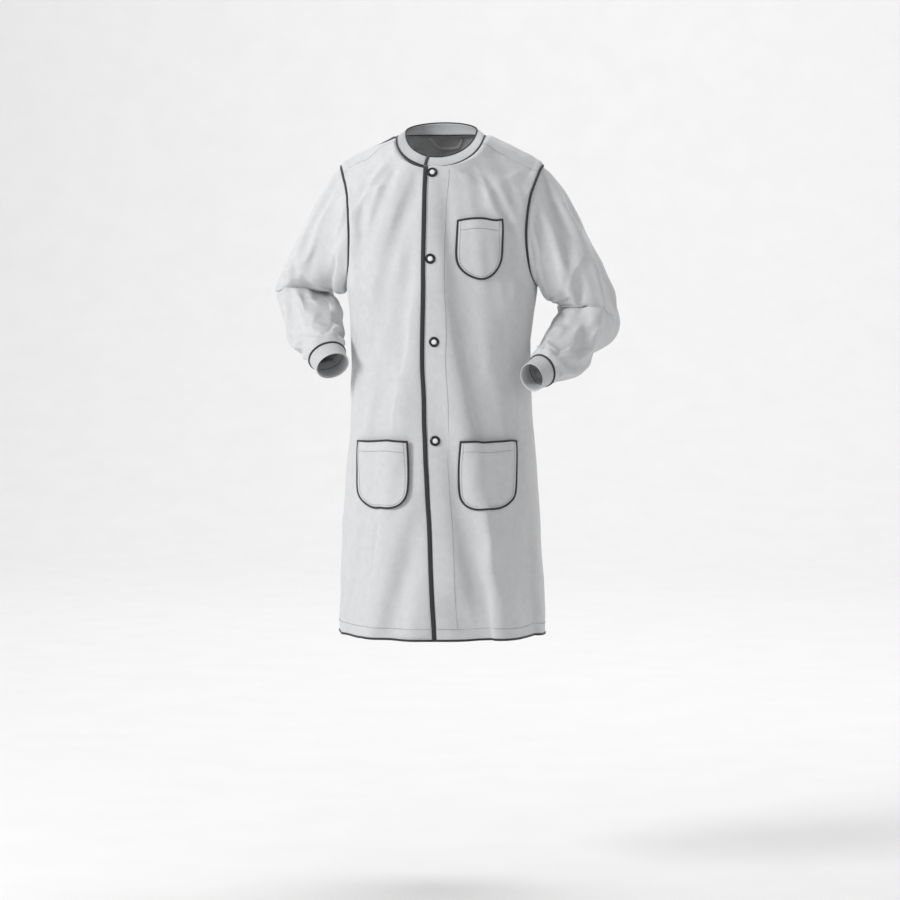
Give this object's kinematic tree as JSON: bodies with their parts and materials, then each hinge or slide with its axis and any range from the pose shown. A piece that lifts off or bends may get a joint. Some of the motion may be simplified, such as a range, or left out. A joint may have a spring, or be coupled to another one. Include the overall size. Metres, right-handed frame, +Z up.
{
  "type": "lab coat",
  "caption": "Knee-length lab coat with a rib-knit neckband and cuffs, snap front, chest pocket and hip pockets, standing as worn with hands on hips.",
  "frame": {"origin": "centre of the neck opening, level with the neck ends of the shoulder seams", "axes": "+Z up along the wearer's spine, +X to the wearer's left, +Y to the wearer's back; the front faces -Y"},
  "size_m": [0.7422, 0.326, 1.0605],
  "materials": {
    "cloth": "light grey woven poly-cotton twill, matt",
    "rib_knit": "light grey rib knit, dark edge piping",
    "tape": "off-white woven tape, blank",
    "snap_metal": "gunmetal press snap with a white enamel centre"
  },
  "bodies": {
    "coat_body": {"back_panel": "cloth", "left_front_side": "cloth", "right_front_side": "cloth", "neckband_back": "rib_knit", "hanger_loop": "tape", "size_label": "tape"},
    "left_front": {"left_front_panel": "cloth", "left_front_facing": "cloth", "neckband_left_front": "rib_knit", "chest_pocket": "cloth", "left_hip_pocket": "cloth", "snap_cap_1": "snap_metal", "snap_cap_2": "snap_metal", "snap_cap_3": "snap_metal", "snap_cap_4": "snap_metal", "snap_socket_1": "snap_metal", "snap_socket_2": "snap_metal", "snap_socket_3": "snap_metal", "snap_socket_4": "snap_metal"},
    "right_front": {"right_front_panel": "cloth", "right_front_facing": "cloth", "neckband_right_front": "rib_knit", "right_hip_pocket": "cloth", "snap_stud_1": "snap_metal", "snap_stud_2": "snap_metal", "snap_stud_3": "snap_metal", "snap_stud_4": "snap_metal", "snap_post_1": "snap_metal", "snap_post_2": "snap_metal", "snap_post_3": "snap_metal", "snap_post_4": "snap_metal"},
    "left_upper_arm": {"left_upper_sleeve": "cloth"},
    "left_forearm": {"left_lower_sleeve": "cloth", "left_cuff": "rib_knit"},
    "right_upper_arm": {"right_upper_sleeve": "cloth"},
    "right_forearm": {"right_lower_sleeve": "cloth", "right_cuff": "rib_knit"}
  },
  "joints": [
    {"name": "left_front_open", "type": "hinge", "parent": "coat_body", "child": "left_front", "pos_m": [0.16, -0.1, -0.12], "axis": [-0.0328, 0.0273, 0.9991], "range_deg": [0, 70]},
    {"name": "right_front_open", "type": "hinge", "parent": "coat_body", "child": "right_front", "pos_m": [-0.16, -0.1, -0.12], "axis": [0.0328, 0.0273, 0.9991], "range_deg": [-42, 0]},
    {"name": "left_sleeve_lift", "type": "hinge", "parent": "coat_body", "child": "left_upper_arm", "pos_m": [0.207, 0, -0.067], "axis": [0, -1, 0], "range_deg": [0, 60]},
    {"name": "right_sleeve_lift", "type": "hinge", "parent": "coat_body", "child": "right_upper_arm", "pos_m": [-0.207, 0, -0.067], "axis": [0, 1, 0], "range_deg": [0, 60]},
    {"name": "left_elbow_straighten", "type": "hinge", "parent": "left_upper_arm", "child": "left_forearm", "pos_m": [0.3715, 0.05, -0.391], "axis": [0.2952, -0.9227, 0.2479], "range_deg": [0, 70]},
    {"name": "right_elbow_straighten", "type": "hinge", "parent": "right_upper_arm", "child": "right_forearm", "pos_m": [-0.354, 0.1, -0.336], "axis": [0.5562, 0.8155, -0.16], "range_deg": [0, 70]}
  ],
  "couplings": [
    {"joint": "right_front_open", "follows": "left_front_open", "ratio": -0.6}
  ]
}
